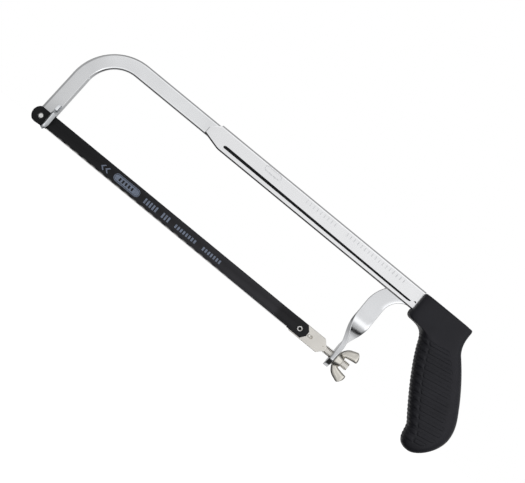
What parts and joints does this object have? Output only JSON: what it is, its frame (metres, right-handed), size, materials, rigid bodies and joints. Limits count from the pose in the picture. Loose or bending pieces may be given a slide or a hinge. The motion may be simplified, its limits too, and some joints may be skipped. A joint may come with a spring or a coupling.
{
  "type": "adjustable hacksaw",
  "caption": "Adjustable hacksaw: flat front frame sliding in a folded tube, twisted rear post, wing-nut draw bolt, toothed blade and moulded pistol grip.",
  "frame": {"origin": "middle of the saw's length and thickness, at the height of the grip's lowest point", "axes": "+X from the nose to the grip along the blade, +Z from the blade to the spine, the blade lies on the -Y side"},
  "size_m": [0.395, 0.031, 0.0999],
  "materials": {
    "chrome_front": "bright chrome plate",
    "chrome_rear": "satin chrome plate",
    "nickel": "dull nickel plate",
    "pin_steel": "bright zinc plate",
    "hidden_steel": "plain steel",
    "blade_black": "satin black paint",
    "grip_plastic": "fine moulded texture"
  },
  "bodies": {
    "rear_frame": {"rear_frame_tube": "chrome_rear", "rear_post": "chrome_rear", "post_rivets": "hidden_steel", "grip": "grip_plastic", "grip_screw": "hidden_steel"},
    "front_frame": {"front_frame": "chrome_front", "front_blade_pin": "pin_steel", "tail_stud": "hidden_steel"},
    "draw_bolt": {"draw_bolt": "nickel", "rear_blade_pin": "pin_steel"},
    "wing_nut": {"wing_nut": "nickel"},
    "blade": {"blade": "blade_black"}
  },
  "joints": [
    {"name": "frame_extension", "type": "slide", "parent": "rear_frame", "child": "front_frame", "axis": [-1, 0, 0], "range_m": [0, 0.05]},
    {"name": "bolt_travel", "type": "slide", "parent": "rear_frame", "child": "draw_bolt", "axis": [-1, 0, 0], "range_m": [0, 0.0054]},
    {"name": "nut_turn", "type": "hinge", "parent": "rear_frame", "child": "wing_nut", "pos_m": [0.0965, 0, 0.0193], "axis": [1, 0, 0], "range_deg": [0, 1531]},
    {"name": "blade_unhook", "type": "slide", "parent": "draw_bolt", "child": "blade", "axis": [0, -1, 0], "range_m": [0, 0.0019]}
  ],
  "couplings": [
    {"joint": "nut_turn", "follows": "bolt_travel", "rad_per_m": 4947.4}
  ]
}
